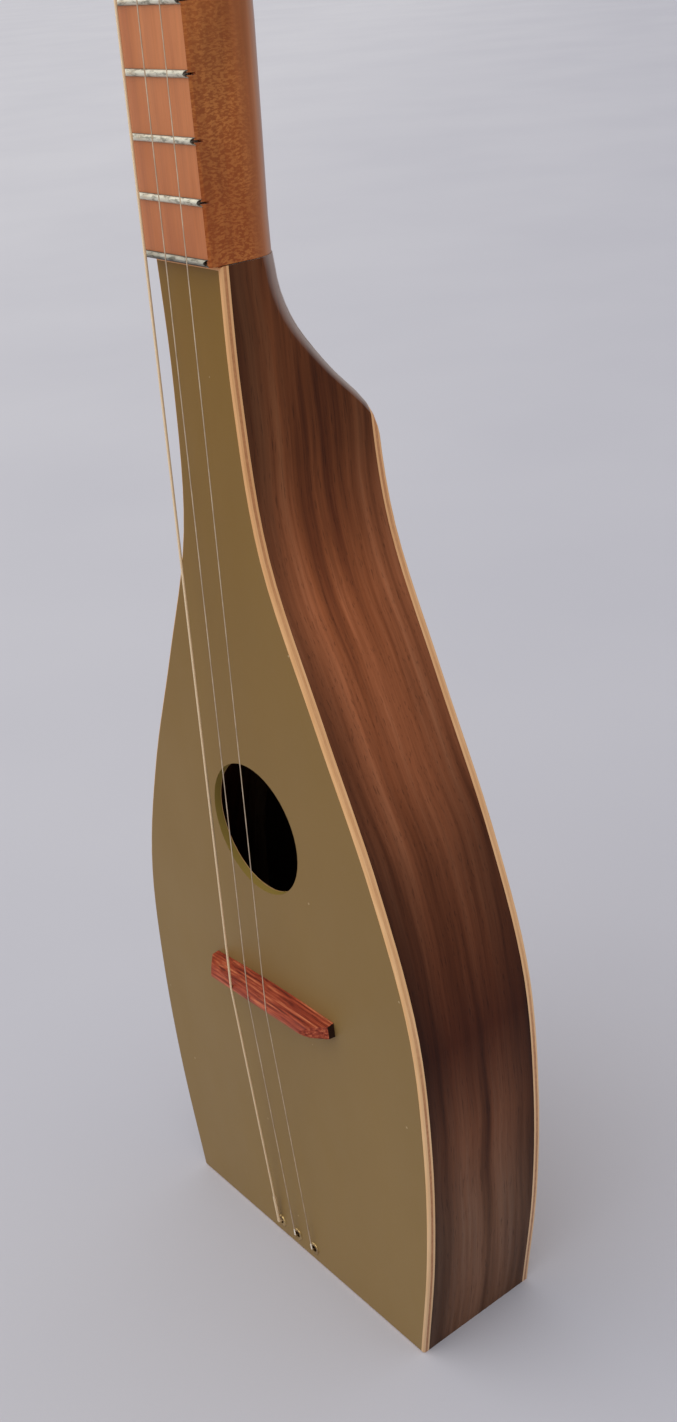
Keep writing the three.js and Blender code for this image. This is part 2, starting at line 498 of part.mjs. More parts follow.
TUNERS.forEach(({ x, z, side }, i) => {
  const tuner = new THREE.Group();
  tuner.position.set(x, 0, z);
  headGroup.add(tuner);
  const name = i + 1;
  const wormAxis = (geometry) => geometry.translate(0, GEAR_Y, -WORM_DROP);

  const plateTop = PLATE_Y + PLATE.thickness;
  const ears = [-EAR.x, EAR.x].map((ear) => box(
    ear - EAR.thickness / 2, ear + EAR.thickness / 2, PLATE_Y + 0.2, plateTop + EAR.rise,
    -WORM_DROP - EAR.half, -WORM_DROP + EAR.half));
  const base = box(-PLATE.half, PLATE.half, PLATE_Y, plateTop, -PLATE.below, PLATE.above);
  const earBore = wormAxis(outward(rodY(WORM.shaftR + GAP, -10, 10, 14), side));
  const postBore = rodY(POST.r + GAP, PLATE_Y - 3, plateTop + 3, 18);
  addMesh(tuner, `tuner_plate_${name}`, cut(join(base, ...ears), earBore, postBore), STEEL);

  const shaftEnd = BUTTON.start + BUTTON.length - 5;
  const shaft = outward(rodY(WORM.shaftR, -EAR.x - 1.5, shaftEnd, 12), side);
  addMesh(tuner, `worm_${name}`, wormAxis(join(wormThread(), shaft)), STEEL);

  const { start, length, r } = BUTTON;
  const bulb = turned([
    [0, start], [r * 0.5, start], [r * 0.62, start + length * 0.15], [r * 0.95, start + length * 0.4],
    [r, start + length * 0.6], [r * 0.9, start + length * 0.82], [r * 0.62, start + length * 0.95],
    [0, start + length],
  ], 20);
  const grip = outward(bulb, side).scale(1, BUTTON.flat, 1);
  const gripBore = outward(rodY(WORM.shaftR + GAP, start - 1, shaftEnd + GAP, 12), side);
  addMesh(tuner, `button_${name}`, wormAxis(cut(grip, gripBore)), IVORY);

  const postBack = GEAR_Y + GEAR.width / 2 + 0.2;
  const spindle = turned([
    [0, POST.cap], [POST.capR - 0.6, POST.cap], [POST.capR, POST.cap + 0.5],
    [POST.capR, POST.waistTop - 0.4], [POST.waistR, POST.waistTop], [POST.waistR, POST.waistBottom],
    [POST.r, POST.waistBottom + 0.6], [POST.r, plateTop + 0.6], [2.2, plateTop + 0.9], [2.2, postBack],
    [1.1, postBack], [1.1, postBack - 5], [0, postBack - 5],
  ], 18);
  const stringEye = rodY(0.8, -6, 6, 10).rotateX(Math.PI / 2).translate(0, POST.windingY, 0);
  const wheel = cut(gearWheel(), rodY(1.6, GEAR_Y - 5, GEAR_Y + 5, 12));
  addMesh(tuner, `post_${name}`, cut(join(spindle, wheel), stringEye), STEEL);

  const screwSeat = postBack + 0.2;
  const screw = turned([[0, postBack - 4], [0.8, postBack - 4], [0.8, screwSeat], [2, screwSeat],
    [2, screwSeat + 0.7], [1.3, screwSeat + 1.2], [0, screwSeat + 1.2]], 12);
  addMesh(tuner, `gear_screw_${name}`, screw, NICKEL);

  const bush = turnedRing([
    [BUSH.boreR, -BUSH.flange], [BUSH.flangeR - 0.6, -BUSH.flange], [BUSH.flangeR, -0.6],
    [BUSH.flangeR, -0.05], [BUSH.sleeveR, -0.05], [BUSH.sleeveR, BUSH.sleeve], [BUSH.boreR, BUSH.sleeve],
  ], 18);
  addMesh(tuner, `bushing_${name}`, bush, NICKEL);

  // Wraps of string round the post's waist, one bead per turn.
  const wireR = STRING_RADII[i];
  const inner = POST.waistR + GAP;
  const top = POST.windingY - TURNS * wireR;
  const beads = Array.from({ length: TURNS }, (_, k) => [
    [inner + 1.3 * wireR, top + 2 * k * wireR],
    [inner + 2 * wireR, top + (2 * k + 1) * wireR],
  ]).flat();
  const bottom = top + 2 * TURNS * wireR;
  const coil = turnedRing([[inner, top], ...beads, [inner + 1.3 * wireR, bottom], [inner, bottom]], 20);
  addMesh(tuner, `winding_${name}`, coil, i === 0 ? BRONZE : STEEL);
});

// ---- strings: ball end, ferrule, bridge, nut and post ----
STRING_RADII.forEach((r, i) => {
  const { x, z, side } = TUNERS[i];
  const ball = vec(FERRULE_XS[i], BALL.y, BALL.z);
  const bend = vec(FERRULE_XS[i], stringBendY, stringBendZ);
  const start = ball.clone().addScaledVector(bend.clone().sub(ball).normalize(), BALL.r + GAP);
  const mouth = ferruleAt(i);
  const crest = bridgeAt(i);
  const twistEnd = mouth.clone().lerp(crest, TWIST.up / mouth.distanceTo(crest));
  const twistFade = mouth.clone().lerp(crest, (TWIST.up + 1.5) / mouth.distanceTo(crest));
  const nut = nutAt(i);
  const leave = x - side * (POST.waistR + GAP + 3 * r + 0.15);
  const post = headGroup.localToWorld(vec(leave, POST.windingY, z));
  const thick = Math.min(r * 1.6, TWIST.r);
  const points = [start, bend, mouth, twistEnd, twistFade, crest, nut, post];
  const radii = [thick, thick, thick, thick, r, r, r, r];
  addMesh(dulcimer, `string_${i + 1}`, wire(points, radii), i === 0 ? BRONZE : STEEL);
});

export default dulcimer;
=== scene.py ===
"""Three-string stick dulcimer, standing on its tail on pale paper. Everything is in metres."""
import json
import math

import bmesh
import bpy
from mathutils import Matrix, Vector


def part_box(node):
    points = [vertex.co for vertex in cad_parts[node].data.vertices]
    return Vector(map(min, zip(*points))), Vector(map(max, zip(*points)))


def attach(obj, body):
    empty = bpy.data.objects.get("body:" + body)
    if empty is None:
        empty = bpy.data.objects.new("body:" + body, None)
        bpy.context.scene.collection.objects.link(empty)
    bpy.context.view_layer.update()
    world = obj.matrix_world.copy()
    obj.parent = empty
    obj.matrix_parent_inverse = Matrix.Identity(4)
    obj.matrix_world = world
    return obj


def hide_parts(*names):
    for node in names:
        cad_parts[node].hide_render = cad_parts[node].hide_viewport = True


# ---- sizes ----
MM = 0.001
EACH = (1, 2, 3)  # strings and tuners, the wound string first

HOLE_Z = 215.2 * MM
HOLE_R = 26.4 * MM
BODY_TOP = 430 * MM
RIB_HALF = 26.5 * MM  # half the depth of the walnut sides

STRING_R = (0.5 * MM, 0.22 * MM, 0.2 * MM)
WRAP_PITCH = 0.28 * MM  # of the fine wire round the wound string
WAIST_R = 2.55 * MM  # string post, where the string is wound
WRAPS = 4  # turns of string on the post

EAR_RISE = 6 * MM  # the ears of a tuner plate above its face
GEAR_SCREW = {"radius": 2.0 * MM, "height": 1.2 * MM, "slot_half": 0.25 * MM}
WOOD_SCREW = {"radius": 1.9 * MM, "height": 1.2 * MM, "slot_half": 0.22 * MM}
SCREW_DOME = ((1.0, 0.4), (1.0, 0.55), (0.93, 0.78), (0.72, 0.95), (0.45, 1.0))  # width, level
WOOD_SCREW_PLACES = {"upper": 8.2 * MM, "lower": -16.8 * MM}  # along the plate, from the post

TWIST_LENGTH = 3.4 * MM
TWIST_TURNS = 9
TWIST_START = (-1.0 * MM, 7.7 * MM)  # in front of the ferrule, and above the tail
TOWARDS_BRIDGE = Vector((0, -9.0, 131.9)).normalized()

CAMERA_PLACE = (0.4542, -0.3237, 0.5268)
CAMERA_TURN = (63.789, 4.669, 50.991)  # degrees
CAMERA_LENS = 41.27
LIGHT_HEADING = (0.18, 0.72, -0.95)
SMOOTH_ANGLE = 32  # degrees between faces
COIL_STEPS = 20  # points in one turn of wire

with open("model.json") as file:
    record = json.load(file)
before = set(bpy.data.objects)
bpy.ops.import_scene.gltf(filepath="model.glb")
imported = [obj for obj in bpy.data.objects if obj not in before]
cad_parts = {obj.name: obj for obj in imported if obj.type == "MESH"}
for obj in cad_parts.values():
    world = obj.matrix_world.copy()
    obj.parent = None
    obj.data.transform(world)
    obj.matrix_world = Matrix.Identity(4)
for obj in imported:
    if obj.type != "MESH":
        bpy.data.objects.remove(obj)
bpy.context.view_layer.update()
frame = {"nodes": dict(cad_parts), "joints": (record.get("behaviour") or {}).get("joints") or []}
nodes = frame["nodes"]


# ---- camera ----
def make_camera():
    data = bpy.data.cameras.new("camera")
    data.lens = CAMERA_LENS
    data.sensor_width = 36
    data.clip_start = 0.01
    data.clip_end = 100
    camera = bpy.data.objects.new("camera", data)
    bpy.context.scene.collection.objects.link(camera)
    camera.location = CAMERA_PLACE
    camera.rotation_euler = [math.radians(angle) for angle in CAMERA_TURN]
    bpy.context.scene.camera = camera


# ---- light: a pale sweep under an even sky, with a broad soft key from the left ----
def make_studio():
    world = bpy.data.worlds.new("studio")
    bpy.context.scene.world = world
    world.use_nodes = True
    background = world.node_tree.nodes["Background"]
    background.inputs["Color"].default_value = (0.98, 0.98, 1.0, 1)
    background.inputs["Strength"].default_value = 0.64

    data = bpy.data.lights.new("key", "SUN")
    data.energy = 1.1
    data.angle = math.radians(75)
    data.color = (1.0, 0.985, 0.955)
    key = bpy.data.objects.new("key", data)
    bpy.context.scene.collection.objects.link(key)
    key.rotation_euler = Vector(LIGHT_HEADING).to_track_quat("-Z", "Y").to_euler()
    bpy.context.scene.view_settings.view_transform = "Standard"

    bpy.ops.mesh.primitive_plane_add(size=60, location=(0, 0, 0))
    floor = bpy.context.object
    floor.name = "floor"
    floor.data.materials.append(floor_paper())


# ---- materials ----
class Graph:
    """A material's node tree, built node by node."""

    def __init__(self, name):
        self.material = bpy.data.materials.new(name)
        self.material.use_nodes = True
        self.tree = self.material.node_tree
        self.surface = self.tree.nodes["Principled BSDF"]

    def node(self, kind, inputs=(), **settings):
        made = self.tree.nodes.new(kind)
        for key, value in settings.items():
            setattr(made, key, value)
        for key, value in dict(inputs).items():
            if isinstance(value, bpy.types.NodeSocket):
                self.tree.links.new(value, made.inputs[key])
            else:
                made.inputs[key].default_value = value
        return made

    def here(self):
        return self.node("ShaderNodeTexCoord").outputs["Object"]

    def place(self, scale, at=None):
        """Coordinates stretched by a scale for each axis."""
        where = self.here() if at is None else at
        return self.node("ShaderNodeMapping", {"Vector": where, "Scale": scale}).outputs["Vector"]

    def shift(self, x=0.0, y=0.0, z=0.0):
        """Object coordinates moved aside by values that may vary from place to place."""
        aside = self.node("ShaderNodeCombineXYZ", {"X": x, "Y": y, "Z": z}).outputs[0]
        return self.node("ShaderNodeVectorMath", {0: self.here(), 1: aside}, operation="ADD").outputs[0]

    def noise(self, scale, size=1.0, detail=4.0, rough=0.5, warp=0.0, at=None):
        return self.node("ShaderNodeTexNoise", {
            "Vector": self.place(scale, at), "Scale": size, "Detail": detail, "Roughness": rough,
            "Distortion": warp,
        }).outputs["Fac"]

    def ramp(self, value, stops):
        """Colours, or single values for a grey, at positions from 0 to 1."""
        node = self.node("ShaderNodeValToRGB", {"Fac": value})
        ramp = node.color_ramp
        while len(ramp.elements) < len(stops):
            ramp.elements.new(0.5)
        for element, (position, colour) in zip(ramp.elements, stops):
            element.position = position
            element.color = (*colour, 1) if len(colour) == 3 else (colour[0],) * 3 + (1,)
        return node.outputs["Color"]

    def mix(self, factor, a, b, blend="MIX"):
        node = self.node("ShaderNodeMix", data_type="RGBA", blend_type=blend)
        for socket, value in zip((node.inputs[0], node.inputs[6], node.inputs[7]), (factor, a, b)):
            if isinstance(value, bpy.types.NodeSocket):
                self.tree.links.new(value, socket)
            elif socket.type == "RGBA":
                socket.default_value = (*value, 1)
            else:
                socket.default_value = value
        return node.outputs[2]

    def maths(self, operation, a, b=0.0, clamp=False):
        return self.node("ShaderNodeMath", {0: a, 1: b}, operation=operation, use_clamp=clamp).outputs[0]

    def times(self, a, *others):
        for other in others:
            a = self.maths("MULTIPLY", a, other)
        return a

    def shade(self, colour, *shades):
        """A colour multiplied by one shade after another."""
        for shade in shades:
            colour = self.mix(1.0, colour, shade, "MULTIPLY")
        return colour

    def span(self, value, low, high, to_low=0.0, to_high=1.0):
        return self.node("ShaderNodeMapRange", {
            "Value": value, "From Min": low, "From Max": high, "To Min": to_low, "To Max": to_high,
        }).outputs["Result"]

    def axis(self, letter, vector=None):
        return self.node("ShaderNodeSeparateXYZ", {"Vector": vector or self.here()}).outputs[letter]

    def normal(self, letter):
        return self.axis(letter, self.node("ShaderNodeNewGeometry").outputs["True Normal"])

    def facing(self, letter):
        """How far the surface faces along one axis, either way, from 0 to 1."""
        return self.maths("ABSOLUTE", self.normal(letter))

    def edge_on(self, stops):
        """A ramp over how far the surface turns away from the eye."""
        return self.ramp(self.node("ShaderNodeLayerWeight", {"Blend": 0.5}).outputs["Facing"], stops)

    def bump(self, height, depth, strength=1.0, under=None):
        inputs = {"Height": height, "Distance": depth, "Strength": strength}
        if under is not None:
            inputs["Normal"] = under
        return self.node("ShaderNodeBump", inputs).outputs["Normal"]

    def finish(self, colour, rough, normal, **settings):
        """The finished material; settings are further inputs of its surface."""
        links = {"Base Color": colour, "Roughness": rough, "Normal": normal}
        for key, value in links.items():
            if isinstance(value, bpy.types.NodeSocket):
                self.tree.links.new(value, self.surface.inputs[key])
            else:
                self.surface.inputs[key].default_value = value
        for key, value in settings.items():
            self.surface.inputs[key.replace("_", " ")].default_value = value
        return self.material


def floor_paper():
    """Pale paper with painted light: a little lighter away to the left, and in broad soft patches."""
    g = Graph("floor_paper")
    drift = g.maths("ADD", g.axis("X"), g.times(g.axis("Y"), 0.9))
    # Painted light: the paper is lighter away to the left and in broad soft patches.
    painted_light_to_left = g.span(drift, 0.25, -1.6, 0.0, 0.8)
    painted_light_patches = g.span(g.noise((2.4, 2.4, 2.4), detail=3), 0.35, 0.65, 0.0, 0.2)
    painted_light_total = g.maths("ADD", painted_light_to_left, painted_light_patches, clamp=True)
    tone = g.ramp(painted_light_total, [(0.0, (0.540, 0.537, 0.590)), (1.0, (0.665, 0.660, 0.698))])
    tooth = g.noise((900, 900, 900), detail=2)
    return g.finish(tone, 0.9, g.bump(tooth, 0.0001, 0.3), Specular_IOR_Level=0.1)


def plywood_edge(g, inner, outer):
    """Colour of three plies stacked from the inner face to the outer one, along Y."""
    depth = g.span(g.axis("Y"), inner, outer)
    wave = g.span(g.noise((18, 1, 18), detail=2), 0, 1, -0.03, 0.03)
    level = g.maths("ADD", depth, wave)
    streak = g.noise((160, 1400, 30), detail=5)
    light = g.ramp(streak, [(0.25, (0.76, 0.46, 0.22)), (0.75, (0.92, 0.63, 0.36))])
    core = g.ramp(g.noise((700, 900, 700), detail=4), [
        (0.3, (0.42, 0.190, 0.085)), (0.7, (0.58, 0.29, 0.140))])
    is_core = g.ramp(level, [(0.0, (0,)), (0.26, (0,)), (0.30, (1,)), (0.60, (1,)), (0.66, (0,))])
    # The core shows best near the tail and the neck. The plies are greyer near the tail and more yellow
    # towards the neck.
    height = g.span(g.axis("Z"), 0, BODY_TOP)
    clear = g.ramp(height, [(0.30, (1.0,)), (0.42, (0.35,)), (0.70, (0.35,)), (0.80, (0.8,))])
    tint_by_height = g.ramp(height, [
        (0.0, (0.82, 0.82, 0.86)), (0.25, (0.98, 0.96, 0.94)), (0.45, (1.0, 0.90, 0.80)),
        (0.75, (0.96, 0.80, 0.66))])
    return g.shade(g.mix(g.times(is_core, clear), light, core), tint_by_height)


def painted_top():
    """Olive paint on the face and in the sound hole, with bare plies round the rounded outer edge."""
    low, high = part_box("top_plate")
    g = Graph("olive_paint_on_ply")
    cloud = g.noise((14, 14, 9), detail=4, rough=0.6)
    # Painted light and shade: the paint is greyer low down, and darker and more saturated high up, in the
    # shade under the neck.
    lit_low_paint = g.ramp(cloud, [(0.2, (0.238, 0.148, 0.049)), (0.8, (0.268, 0.168, 0.058))])
    shaded_high_paint = g.ramp(cloud, [(0.2, (0.212, 0.111, 0.016)), (0.8, (0.240, 0.128, 0.021))])
    paint = g.mix(g.span(g.axis("Z"), 0.15, 0.42), lit_low_paint, shaded_high_paint)
    # A few specks of dust lie in the paint.
    cells = {"Vector": g.place((260, 260, 260)), "Scale": 1.0}
    speck = g.node("ShaderNodeTexVoronoi", cells, feature="F1")
    rare = g.node("ShaderNodeTexWhiteNoise", {"Vector": speck.outputs["Position"]}).outputs["Value"]
    near = g.maths("LESS_THAN", speck.outputs["Distance"], 0.12)
    lucky = g.maths("GREATER_THAN", rare, 0.985)
    paint = g.mix(g.times(near, lucky, 0.5), paint, (0.60, 0.45, 0.26))

    # The wall of the sound hole has lighter paint, a painted light. Beyond the hole, a surface that turns
    # away from the front is the outer edge, which is bare, as the inner face is.
    across = g.axis("X")
    up = g.maths("SUBTRACT", g.axis("Z"), HOLE_Z)
    from_hole = g.maths("SQRT", g.maths("ADD", g.times(across, across), g.times(up, up)))
    outside_hole = g.maths("GREATER_THAN", from_hole, HOLE_R + 3 * MM)
    lit_wall = g.maths("LESS_THAN", g.facing("Y"), 0.5)
    paint = g.mix(g.times(lit_wall, 0.8), paint, (0.360, 0.250, 0.055))
    turned_away = g.maths("LESS_THAN", g.facing("Y"), 0.985)
    behind = g.maths("GREATER_THAN", g.axis("Y"), high.y - 0.2 * MM)
    bare = g.maths("MAXIMUM", g.times(outside_hole, turned_away), behind)
    colour = g.mix(bare, paint, plywood_edge(g, high.y, low.y))

    grain = g.noise((420, 420, 14), detail=5)
    peel = g.noise((520, 520, 520), detail=2)
    normal = g.bump(peel, 0.00003, 0.35, g.bump(grain, 0.00006, 0.3))
    rough = g.span(g.noise((60, 60, 30), detail=3), 0.3, 0.7, 0.40, 0.48)
    return g.finish(colour, rough, normal, Specular_IOR_Level=0.2)


def plywood(node):
    """Lacquered birch faces with the plies showing at the edges."""
    low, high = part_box(node)
    g = Graph(f"plywood_{node}")
    figure = g.noise((90, 1, 5), detail=6, rough=0.6, warp=0.6)
    fine = g.noise((900, 1, 40), detail=4)
    face = g.ramp(figure, [
        (0.25, (0.58, 0.37, 0.19)), (0.55, (0.70, 0.48, 0.27)), (0.8, (0.77, 0.56, 0.33))])
    face = g.mix(0.25, face, g.ramp(fine, [(0.3, (0.42, 0.26, 0.13)), (0.6, (0.77, 0.56, 0.33))]))
    edge = g.maths("LESS_THAN", g.facing("Y"), 0.9)
    # The inner face is painted near black, as the shade within the soundbox.
    shaded_inside = g.maths("LESS_THAN", g.axis("Y"), low.y + 0.1 * MM)
    face = g.mix(shaded_inside, face, (0.030, 0.014, 0.007))
    colour = g.mix(edge, face, plywood_edge(g, low.y, high.y))
    return g.finish(colour, 0.42, g.bump(fine, 0.00004, 0.4), Specular_IOR_Level=0.35)


def walnut():
    """Oiled walnut: long straight streaks up the instrument, banded across its depth."""
    g = Graph("walnut")
    drift = g.span(g.noise((3, 3, 7), detail=2), 0, 1, -0.010, 0.010)
    where = g.shift(y=drift)

    def streaks(scale, detail, rough=0.55):
        return g.noise(scale, detail=detail, rough=rough, at=where)

    broad = streaks((6, 85, 4), 3)
    narrow = streaks((10, 240, 8), 4, 0.6)
    tone = g.maths("ADD", g.times(broad, 0.6), g.times(narrow, 0.4))
    colour = g.ramp(tone, [
        (0.34, (0.150, 0.036, 0.012)), (0.44, (0.315, 0.092, 0.032)), (0.54, (0.480, 0.155, 0.062)),
        (0.66, (0.620, 0.235, 0.108))])
    # Darker towards both edges of the sides. Up the instrument it is darker at the heel and a hand's
    # breadth above the tail, partly the wood's own tone and partly painted shade, and greyer near the
    # tail, a painted reflection of the floor.
    edges = g.ramp(g.span(g.axis("Y"), -RIB_HALF, RIB_HALF), [
        (0.0, (0.42,)), (0.10, (0.60,)), (0.28, (1.0,)), (0.66, (1.0,)), (0.86, (0.74,)), (1.0, (0.66,))])
    levels = g.ramp(g.span(g.axis("Z"), 0, BODY_TOP), [
        (0.0, (0.40, 0.58, 0.80)), (0.14, (0.38, 0.53, 0.70)), (0.25, (0.34, 0.37, 0.42)),
        (0.35, (0.155, 0.110, 0.090)), (0.50, (0.36, 0.34, 0.33)), (0.60, (0.70, 0.68, 0.66)),
        (0.72, (1.0, 1.0, 0.98)), (0.84, (0.46, 0.44, 0.38)), (0.95, (0.36, 0.34, 0.28))])
    colour = g.shade(colour, edges, levels)
    fibres = streaks((30, 750, 14), 5, 0.65)
    colour = g.mix(0.4, colour, g.ramp(fibres, [(0.34, (0.5,)), (0.58, (1.0,))]), "MULTIPLY")
    pores = g.ramp(streaks((700, 1700, 110), 2), [(0.30, (0.35,)), (0.40, (1.0,))])
    colour = g.mix(0.55, colour, pores, "MULTIPLY")
    # A grey sheen is painted where the heel's wood is seen edge-on, a painted reflection.
    painted_sheen = g.edge_on([(0.34, (0.0,)), (0.56, (0.44,)), (0.90, (0.80,))])
    at_heel = g.ramp(g.span(g.axis("Z"), 200 * MM, 350 * MM), [(0.0, (0.0,)), (1.0, (1.0,))])
    colour = g.mix(g.times(painted_sheen, at_heel), colour, (0.56, 0.48, 0.44))
    rough = g.span(fibres, 0.3, 0.7, 0.40, 0.52)
    normal = g.bump(pores, 0.00005, 0.35, g.bump(fibres, 0.00003, 0.3))
    return g.finish(colour, rough, normal, Specular_IOR_Level=0.1)


def lacewood():
    """Neck wood: fine straight grain on the front, dense curly ray fleck on the sides."""
    g = Graph("lacewood")
    low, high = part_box("neck")
    # Painted highlight: both grain tones of the front are lighter higher up the neck.
    up = g.span(g.axis("Z"), low.z + 24 * MM, low.z + 170 * MM)
    pale = g.mix(up, (0.620, 0.210, 0.070), (0.770, 0.300, 0.118))
    deep = g.mix(up, (0.480, 0.140, 0.040), (0.620, 0.205, 0.066))
    bands = g.ramp(g.noise((75, 75, 12), detail=5, rough=0.6), [(0.3, (0,)), (0.7, (1,))])
    front = g.mix(bands, deep, pale)
    fine = g.noise((1100, 600, 14), detail=5, rough=0.6)
    fibres = g.ramp(fine, [(0.35, (0.7,)), (0.62, (1.0,))])
    front = g.mix(0.35, front, fibres, "MULTIPLY")

    # The fleck is fine and dense at the heel, and fades into soft ripples higher up.
    heel = g.ramp(g.span(g.axis("Z"), low.z + 30 * MM, low.z + 160 * MM), [(0.0, (1.0,)), (1.0, (0.0,))])
    bend = g.span(g.noise((90, 90, 90), detail=1), 0, 1, -0.0016, 0.0016)
    where = g.shift(y=bend, z=bend)
    curl = g.ramp(g.noise((400, 720, 1850), detail=2, at=where), [(0.44, (0,)), (0.58, (1,))])
    ripple = g.ramp(g.noise((60, 200, 1400), detail=2, at=where), [(0.40, (0.36,)), (0.65, (0.60,))])
    fleck = g.mix(heel, ripple, curl)
    dense = g.ramp(g.noise((55, 55, 24), detail=3), [(0.34, (0.35,)), (0.60, (1.0,))])
    # Towards the back the rays turn edge-on and the grain runs straight.
    depth = g.span(g.axis("Y"), -31 * MM, -4 * MM)
    facing_side = g.ramp(depth, [(0.0, (0.75,)), (0.12, (1.0,)), (0.55, (0.85,)), (0.80, (0.12,))])
    side = g.mix(g.times(fleck, dense, facing_side), (0.325, 0.070, 0.009), (0.650, 0.230, 0.052))
    back = g.ramp(g.noise((60, 260, 9), detail=4), [
        (0.3, (0.40, 0.125, 0.036)), (0.7, (0.54, 0.200, 0.070))])
    side = g.mix(g.ramp(depth, [(0.50, (0.0,)), (0.85, (1.0,))]), side, back)
    cloud = g.ramp(g.noise((42, 42, 13), detail=3), [(0.34, (0.66,)), (0.52, (1.0,))])
    side = g.mix(0.7, side, cloud, "MULTIPLY")
    side = g.mix(0.3, side, fibres, "MULTIPLY")
    turned = g.maths("GREATER_THAN", g.facing("X"), 0.6)
    behind = g.maths("GREATER_THAN", g.axis("Y"), low.y + 5 * MM)
    colour = g.mix(g.maths("MAXIMUM", turned, behind), front, side)
    # A grey sheen is painted where the neck's rounded back is seen edge-on, a painted reflection.
    painted_sheen = g.edge_on([(0.42, (0.0,)), (0.68, (0.28,)), (0.97, (0.65,))])
    colour = g.mix(painted_sheen, colour, (0.46, 0.38, 0.34))
    return g.finish(colour, 0.42, g.bump(fine, 0.00003, 0.35), Specular_IOR_Level=0.25)


def padauk():
    """Red-orange wood with dark streaks along X; the end faces are painted nearly black, darker end grain
    with painted shade.
    """
    g = Graph("padauk")
    streak = g.noise((22, 900, 900), detail=5, rough=0.65)
    colour = g.ramp(streak, [
        (0.32, (0.085, 0.010, 0.005)), (0.43, (0.230, 0.029, 0.011)), (0.54, (0.385, 0.066, 0.026)),
        (0.68, (0.640, 0.200, 0.085))])
    pores = g.ramp(g.noise((90, 1600, 1600), detail=2), [(0.32, (0.25,)), (0.42, (1.0,))])
    colour = g.mix(0.6, colour, pores, "MULTIPLY")
    # The end faces are painted nearly black: darker end grain and painted shade.
    end = g.span(g.facing("X"), 0.82, 0.97)
    colour = g.mix(end, colour, (0.020, 0.006, 0.004))
    return g.finish(colour, 0.42, g.bump(pores, 0.00004, 0.4), Specular_IOR_Level=0.25)


def spruce():
    """Linings and braces: fine rings, painted dark as the shade within the soundbox."""
    g = Graph("spruce")
    rings = g.noise((500, 500, 4), detail=3, warp=0.2)
    colour = g.ramp(rings, [
        (0.35, (0.085, 0.040, 0.018)), (0.5, (0.125, 0.065, 0.030)), (0.7, (0.150, 0.085, 0.042))])
    return g.finish(colour, 0.65, g.bump(rings, 0.00005, 0.4))


def fret_metal(name, painted_brightness, painted_lower_shade):
    """Nickel silver with painted reflection and shade: pale crown with dark mottles, darker where the
    crown meets the board, on its lower half and on its bevelled ends.
    """
    g = Graph(name)
    # The dark mottles on the crown are painted reflections.
    marks = g.noise((240, 500, 900), detail=4, rough=0.6)
    colour = g.ramp(marks, [
        (0.38, (0.42, 0.40, 0.33)), (0.48, (0.84, 0.81, 0.70)), (0.60, (0.95, 0.92, 0.80))])
    # Painted shade where the crown meets the board, on its lower half and on its bevelled ends; a
    # brightness below one darkens the whole fret as painted shade.
    foot = g.ramp(g.facing("Z"), [(0.80, (1.0,)), (0.97, (0.30,))])
    lower = g.ramp(g.span(g.normal("Z"), 0, -1), [(0.05, (1.0,)), (0.45, (painted_lower_shade,))])
    ends = g.ramp(g.facing("X"), [(0.20, (1.0,)), (0.40, (0.34,))])
    colour = g.shade(colour, foot, lower, ends, (painted_brightness, painted_brightness, painted_brightness * 0.95))
    scratches = g.noise((200, 1500, 1500), detail=3)
    return g.finish(colour, 0.45, g.bump(scratches, 0.00001, 0.3), Metallic=0.8)


def metal(name, dark, light, rough):
    """Metal with faint handling marks and fine scratches."""
    g = Graph(name)
    tarnish = g.noise((160, 160, 160), detail=4)
    colour = g.ramp(tarnish, [(0.38, dark), (0.62, light)])
    scratches = g.noise((60, 60, 60), size=25, detail=3)
    spread = g.span(tarnish, 0.2, 0.8, rough * 0.8, rough * 1.3)
    return g.finish(colour, spread, g.bump(scratches, 0.00001, 0.3), Metallic=1.0)


def wound_bronze():
    """Fine wrap wire round a core: ridges that repeat along Z."""
    g = Graph("wound_bronze")
    wraps = g.node(
        "ShaderNodeTexWave",
        {"Vector": g.place((0, 0, 1)), "Scale": 1 / WRAP_PITCH / 2, "Distortion": 0.0},
        wave_type="BANDS", bands_direction="Z").outputs["Fac"]
    # The grooves between the wraps are painted darker, as shade.
    colour = g.ramp(wraps, [(0.1, (0.80, 0.50, 0.25)), (0.6, (1.0, 0.84, 0.58))])
    return g.finish(colour, 0.35, g.bump(wraps, 0.00008, 0.5), Metallic=0.45)


def pearl_plastic():
    """Swirled ivory plastic under a clear coat."""
    g = Graph("ivory_plastic")
    swirl = g.noise((70, 70, 90), detail=4, warp=1.2)
    colour = g.ramp(swirl, [
        (0.3, (0.62, 0.53, 0.37)), (0.6, (0.78, 0.70, 0.54)), (0.8, (0.86, 0.80, 0.67))])
    waves = g.noise((200, 200, 200), detail=2)
    return g.finish(colour, 0.2, g.bump(waves, 0.00002, 0.2), Coat_Weight=0.5, Coat_Roughness=0.1)


